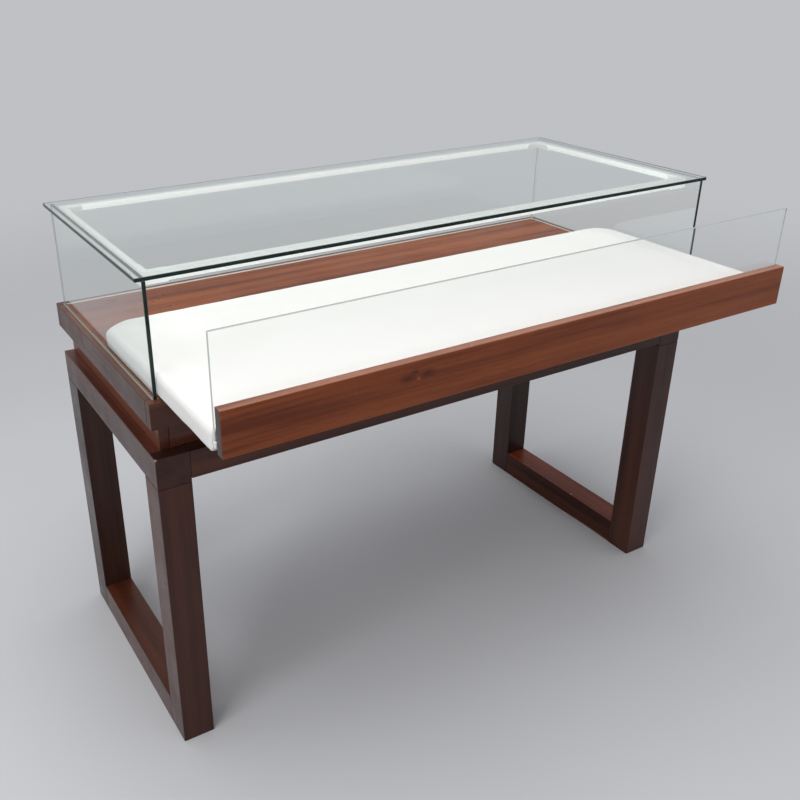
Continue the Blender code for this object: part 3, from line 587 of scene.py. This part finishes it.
def build_camera():
    forward = Vector((
        -math.sin(CAMERA_AZIMUTH) * math.cos(CAMERA_ELEVATION),
        math.cos(CAMERA_AZIMUTH) * math.cos(CAMERA_ELEVATION),
        -math.sin(CAMERA_ELEVATION),
    ))
    level = Vector((math.cos(CAMERA_AZIMUTH), math.sin(CAMERA_AZIMUTH), 0.0))
    upright = level.cross(forward)
    right = math.cos(CAMERA_ROLL) * level + math.sin(CAMERA_ROLL) * upright
    up = math.cos(CAMERA_ROLL) * upright - math.sin(CAMERA_ROLL) * level
    turn = Matrix((right, up, -forward)).transposed()
    lens = bpy.data.cameras.new("camera")
    lens.sensor_width = CAMERA_SENSOR
    lens.lens = CAMERA_LENS
    lens.shift_x, lens.shift_y = CAMERA_SHIFT
    lens.clip_start = 0.01
    lens.clip_end = 2 * FLOOR_RADIUS
    camera = bpy.data.objects.new("camera", lens)
    camera.matrix_world = Matrix.Translation(CAMERA_PLACE) @ turn.to_4x4()
    bpy.context.scene.collection.objects.link(camera)
    bpy.context.scene.camera = camera


# The pieces

def wood_pieces():
    """Each wooden node, with its grain's axis and its tone."""
    pieces = {
        "case_deck": (GRAIN_X, DECK_TONE),
        "case_floor": (GRAIN_X, CASE_TONE),
        "drawer_front": (GRAIN_X, FRONT_TONE),
    }
    for side in ("left", "right"):
        # The back posts take a tone painted darker, as painted shade
        for end, tone in (("front", STAND_TONE), ("back", SHADED_BACK_POST_TONE)):
            pieces[f"leg_{side}_{end}_post"] = (GRAIN_Z, tone)
        for rail in ("top_rail", "foot_rail"):
            pieces[f"leg_{side}_{rail}"] = (GRAIN_Y, STAND_TONE)
        pieces[f"plinth_{side}"] = (GRAIN_Y, PLINTH_TONE)
        pieces[f"case_rail_{side}"] = (GRAIN_Y, CASE_TONE)
    for end in ("front", "back"):
        pieces[f"apron_{end}"] = (GRAIN_X, STAND_TONE)
        # The plinth's front and back take a tone painted darker, as painted shade
        pieces[f"plinth_{end}"] = (GRAIN_X, SHADED_PLINTH_FRONT_TONE)
        pieces[f"case_rail_{end}"] = (GRAIN_X, CASE_TONE)
    return pieces


def dress_faces(node, way, facing, rest):
    """One material for the faces that look one way, and another for the rest."""
    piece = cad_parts[node]
    dress(piece, facing, rest)
    for face in piece.data.polygons:
        face.material_index = 0 if face.normal.dot(way) > FACING else 1


def dress_pane(node, clear, edge, arris, highlight_edge, highlight_way):
    """Clear faces, polished edges, ground lines between them, and an edge on one side painted lighter as a
    painted highlight.
    """
    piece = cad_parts[node]
    low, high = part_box(node)
    thin = min(range(3), key=lambda axis: high[axis] - low[axis])
    dress(piece, clear, edge, arris, highlight_edge)
    for face in piece.data.polygons:
        share = abs(face.normal[thin])
        if share > 0.99:
            face.material_index = 0
        elif face.normal.dot(highlight_way) > 0.5:
            face.material_index = 3
        else:
            face.material_index = 1 if share < 0.01 else 2


def dress_cad(fabric):
    for seed, (node, (grain, tone)) in enumerate(sorted(wood_pieces().items())):
        dress_nodes(wood(node, grain, tone, seed), node)
    hood_glass = clear_glass("hood_glass", (0.955, 0.985, 0.968), (0.980, 0.992, 0.986))
    drawer_glass = clear_glass("drawer_glass", (0.990, 0.997, 0.993), (0.994, 0.998, 0.996))
    # Deep copies are dark for the glass's depth; pale copies are edges and arrises painted lighter as painted
    # light, and the highlight copy is a painted highlight on the edge that faces one given way
    deep_edge = glass_edge("deep_glass_edge", (0.004, 0.010, 0.008), (0.012, 0.030, 0.025), 0.25)
    pale_lit_edge = glass_edge("glass_edge_painted_light", (0.33, 0.37, 0.36), (0.41, 0.45, 0.44), 0.5)
    deep_arris = ground_arris("deep_glass_arris", (0.075, 0.115, 0.100))
    pale_lit_arris = ground_arris("glass_arris_painted_light", (0.46, 0.50, 0.49))
    highlight_edge = glass_edge("glass_edge_painted_highlight", (0.50, 0.555, 0.535), (0.58, 0.63, 0.61), 0.5)
    for node in ("hood_top", "hood_left", "hood_right"):
        dress_pane(node, hood_glass, deep_edge, deep_arris, pale_lit_edge, Vector((0, 1, 0)))
    dress_pane("hood_back", hood_glass, pale_lit_edge, pale_lit_arris, pale_lit_edge, Vector((0, 0, 1)))
    dress_pane("drawer_pane", drawer_glass, pale_lit_edge, pale_lit_arris, highlight_edge, Vector((-1, 0, 0)))

    # The channels are one painted aluminium in two copies: tops painted darker as shade, the other faces
    # paler as lit, and both with a painted glow though the channel is no lamp
    glow = {"Emission_Color": LIGHT_TONE}
    shaded_channel_top = coated("shaded_channel_top", (0.62, 0.66, 0.64), 0.38, Emission_Strength=0.12, **glow)
    glowing_channel = coated("glowing_channel", (0.86, 0.88, 0.865), 0.4, Emission_Strength=0.30, **glow)
    sides = ("back", "front", "left", "right")
    channels = [f"led_channel_{side}" for side in sides]
    channels += [f"led_corner_{end}_{side}" for end in sides[:2] for side in sides[2:]]
    for node in channels:
        dress_faces(node, Vector((0, 0, 1)), shaded_channel_top, glowing_channel)
    dress_nodes(opal_cover(), *(f"led_diffuser_{side}" for side in sides))
    dress_nodes(light_tape("X"), "led_tape_back", "led_tape_front")
    dress_nodes(light_tape("Y"), "led_tape_left", "led_tape_right")
    dress_nodes(coated("clear_lead", (0.74, 0.69, 0.58), 0.3, Coat_Weight=0.3), "led_wire")
    dress_nodes(coated("driver_case", (0.74, 0.75, 0.76), 0.45), "led_driver")
    dress_nodes(coated("black_rubber", (0.022, 0.022, 0.023), 0.65), "cable_grommet")
    dress_nodes(coated("grey_silicone", (0.55, 0.56, 0.55), 0.4), "drawer_pane_strip")
    dress_faces("tray_board", Vector((0, 0, -1)), plywood(), fabric)
    steel = zinc_steel()
    members = ("fixed", "middle", "inner")
    dress_nodes(steel, *(f"slide_{member}_{side}" for member in members for side in sides[2:]))


def loft(name, rings):
    """A closed mesh through a row of outlines."""
    shape = bmesh.new()
    loops = [[shape.verts.new(point) for point in ring] for ring in rings]
    for first, second in zip(loops, loops[1:]):
        for here in range(len(first)):
            there = (here + 1) % len(first)
            shape.faces.new((first[here], first[there], second[there], second[here]))
    shape.faces.new(loops[0])
    shape.faces.new(loops[-1])
    bmesh.ops.recalc_face_normals(shape, faces=shape.faces)
    mesh = bpy.data.meshes.new(name)
    shape.to_mesh(mesh)
    shape.free()
    return mesh


def round_back(half, front, back, height, radii):
    """An outline, square in front, with a round corner at each end of the back."""
    outline = [(-half, front, height), (half, front, height)]
    for side, turn in ((1, 0.0), (-1, 0.5)):
        radius = radii[side]
        for step in range(ROUND_STEPS + 1):
            angle = math.pi * (turn + step / ROUND_STEPS / 2)
            across = side * (half - radius) + radius * math.cos(angle)
            outline.append((across, back - radius + radius * math.sin(angle), height))
    return outline


def pad_form():
    """A closed shell: flat top with rounded edges, upright sides down to the skirt, square at the pane."""
    low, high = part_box("pad")
    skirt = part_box("tray_batten_left")[0].z
    top = high.z - PAD_SINK
    levels = [(0.0, skirt), (-PAD_SIDE_BULGE, (skirt + top) / 2)]
    for step in range(PAD_EDGE_STEPS + 1):
        angle = math.pi / 2 * step / PAD_EDGE_STEPS
        reach = PAD_EDGE_RADIUS * (1 - math.cos(angle))
        levels.append((reach, top - PAD_EDGE_RADIUS * (1 - math.sin(angle))))
    rings = []
    for reach, height in levels:
        radii = {side: max(radius - reach, PAD_EDGE_RADIUS) for side, radius in PAD_CORNERS.items()}
        rings.append(round_back(high.x - reach, low.y, high.y - reach, height, radii))
    return loft("pad_cover", rings)


def apply_modifiers(piece):
    """Leaves the piece with the mesh that its modifiers make, and no modifiers."""
    graph = bpy.context.evaluated_depsgraph_get()
    mesh = bpy.data.meshes.new_from_object(piece.evaluated_get(graph))
    piece.modifiers.clear()
    piece.data = mesh


def swell(piece):
    """Fills the pad's cover by a cloth simulation, with its underside held, and caps how far out it moves."""
    rest = [(vertex.co.copy(), vertex.normal.copy()) for vertex in piece.data.vertices]
    tray_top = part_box("tray_board")[1].z
    held = piece.vertex_groups.new(name="held")
    held.add([vertex.index for vertex in piece.data.vertices if vertex.co.z < tray_top], 1.0, "REPLACE")
    cloth = piece.modifiers.new("cloth", "CLOTH")
    cloth.settings.use_pressure = True
    cloth.settings.uniform_pressure_force = PAD_PRESSURE
    cloth.settings.vertex_group_mass = held.name
    cloth.settings.effector_weights.gravity = 0.0
    cloth.point_cache.frame_start = 1
    cloth.point_cache.frame_end = PAD_FRAMES
    for step in range(1, PAD_FRAMES + 1):
        bpy.context.scene.frame_set(step)
    apply_modifiers(piece)
    bpy.context.scene.frame_set(1)
    for vertex, (start, outward) in zip(piece.data.vertices, rest):
        move = vertex.co - start
        move -= outward * min(0.0, move.dot(outward))
        vertex.co = start + move * min(1.0, PAD_CAP / max(move.length, PAD_CAP))


def settle(piece):
    """Uneven edges, pleats where the cover is gathered round the back corners, and a drooping left one."""
    low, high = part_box("pad")
    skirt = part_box("tray_batten_left")[0].z
    corner_radius = PAD_CORNERS[1]
    normals = [vertex.normal.copy() for vertex in piece.data.vertices]
    for vertex, normal in zip(piece.data.vertices, normals):
        place = vertex.co
        sideways = 1.0 - abs(normal.z)
        wave = noise.noise(Vector((
            place.x * PAD_WAVE_SCALE,
            place.y * PAD_WAVE_SCALE,
            place.z * PAD_WAVE_RISE,
        )))
        fine = noise.noise(Vector((
            place.x * PAD_FINE_SCALE + PAD_FINE_SHIFT,
            place.y * PAD_FINE_SCALE,
            place.z * PAD_FINE_SCALE,
        )))
        lift = PAD_WAVE_HEIGHT * (PAD_TOP_SHARE + sideways) * (wave + PAD_FINE_SHARE * fine)
        share = (place.z - skirt) / (high.z - skirt)
        away = (place.xy - Vector((low.x, high.y))).length
        droop = PAD_DROOP * share * max(0.0, 1.0 - away / PAD_DROOP_REACH) ** 2
        corner = Vector((math.copysign(high.x - corner_radius, place.x), high.y - corner_radius, place.z))
        out = place - corner
        if out.y > 0.0 and out.x * place.x > 0.0 and sideways > PAD_PLEAT_SLOPE:
            turn = math.atan2(out.y, abs(out.x))
            lift += PAD_PLEAT_DEPTH * sideways * (1.0 - share) * math.sin(turn * 4 * PAD_PLEATS)
        vertex.co = place + normal * lift
        vertex.co.z -= droop
        vertex.co.x = max(low.x, min(high.x, vertex.co.x))
        vertex.co.y = max(low.y, min(high.y, vertex.co.y))
        vertex.co.z = max(skirt + PAD_SKIRT_CLEARANCE, min(high.z, vertex.co.z))


def cut(piece, mesh):
    """Cuts a closed mesh out of a piece."""
    cutter = add_piece("cutter", mesh)
    boolean = piece.modifiers.new("recess", "BOOLEAN")
    boolean.operation = "DIFFERENCE"
    boolean.solver = "MANIFOLD"
    boolean.object = cutter
    apply_modifiers(piece)
    bpy.data.objects.remove(cutter)


def build_pad(fabric):
    """The padded cover over the tray board, which also wraps the battens under the board's ends."""
    pad = add_piece("pad_cover", pad_form())
    remesh = pad.modifiers.new("remesh", "REMESH")
    remesh.mode = "VOXEL"
    remesh.voxel_size = PAD_VOXEL
    apply_modifiers(pad)
    swell(pad)
    smooth = pad.modifiers.new("smooth", "SUBSURF")
    smooth.levels = 1
    smooth.render_levels = 1
    apply_modifiers(pad)
    settle(pad)
    tray_low, tray_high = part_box("tray_board")
    batten_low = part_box("tray_batten_right")[0]
    gap = PAD_FIT_GAP
    front = tray_low.y - gap
    back = tray_high.y + gap
    corner = TRAY_CORNER + gap
    radii = {-1: corner, 1: corner}
    for half, rear, bottom, top in (
        (tray_high.x + gap, back, tray_low.z - gap, tray_high.z + gap),
        (batten_low.x, back + 2 * corner, batten_low.z - 2 * corner, tray_low.z),
    ):
        cut(pad, loft("recess", [round_back(half, front, rear, height, radii) for height in (bottom, top)]))
    dress(pad, fabric)
    pad.data.shade_smooth()
    pad.data.set_sharp_from_angle(angle=SHARP_ANGLE)
    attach(pad, "drawer")
    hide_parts("pad", "tray_batten_left", "tray_batten_right")


def bead(name, start, end, outward, size, material):
    """A hollow fillet of silicone in the corner between the wood and a face of a pane."""
    length = (end - start).length
    along = (end - start) / length
    steps = max(2, round(length / BEAD_STEP))
    wide, narrow = BEAD_HOLLOW
    rings = []
    for step in range(steps + 1):
        place = start + along * length * step / steps
        leg = size * (1 + BEAD_UNEVEN * noise.noise(place * BEAD_UNEVEN_SCALE))
        hollow = [(leg * wide, leg * narrow), (leg * narrow, leg * wide)]
        profile = [(0.0, 0.0), (leg, 0.0), *hollow, (0.0, leg)]
        ring = []
        for out, up in profile:
            ring.append(place + outward * (BEAD_GAP + out) + Vector((0, 0, BEAD_GAP + up)))
        rings.append(ring)
    mesh = loft(name, rings)
    mesh.shade_smooth()
    mesh.set_sharp_from_angle(angle=SHARP_ANGLE)
    piece = add_piece(name, mesh)
    dress(piece, material)
    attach(piece, "cabinet")


def build_beads():
    """Beads along the feet of the hood's panes: darker ones outside, pale ones inside."""
    outer = coated("outer_bead", (0.27, 0.23, 0.18), 0.35)
    inner = coated("inner_bead", (0.66, 0.60, 0.55), 0.35)
    low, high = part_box("hood_left")
    back_low, back_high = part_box("hood_back")
    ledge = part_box("case_rail_left")[1].z
    for side, label in ((-1, "left"), (1, "right")):
        for place, x, rear, out, size, material in (
            ("outer", low.x, high.y, side, BEAD_LEG, outer),
            ("inner", high.x, back_low.y, -side, INNER_BEAD_LEG, inner),
        ):
            start = Vector((-side * x, low.y, ledge))
            end = Vector((-side * x, rear, ledge))
            bead(f"{place}_bead_{label}", start, end, Vector((out, 0, 0)), size, material)
    start = Vector((low.x, back_high.y, ledge))
    end = Vector((-low.x, back_high.y, ledge))
    bead("outer_bead_back", start, end, Vector((0, 1, 0)), BEAD_LEG, outer)
    room = INNER_BEAD_LEG + 2 * BEAD_GAP
    start = Vector((back_low.x + room, back_low.y, ledge))
    end = Vector((back_high.x - room, back_low.y, ledge))
    bead("inner_bead_back", start, end, Vector((0, -1, 0)), INNER_BEAD_LEG, inner)


bpy.context.scene.view_settings.view_transform = "Standard"
build_camera()
build_stage()
build_lights()
fabric = white_fabric()
dress_cad(fabric)
build_pad(fabric)
build_beads()
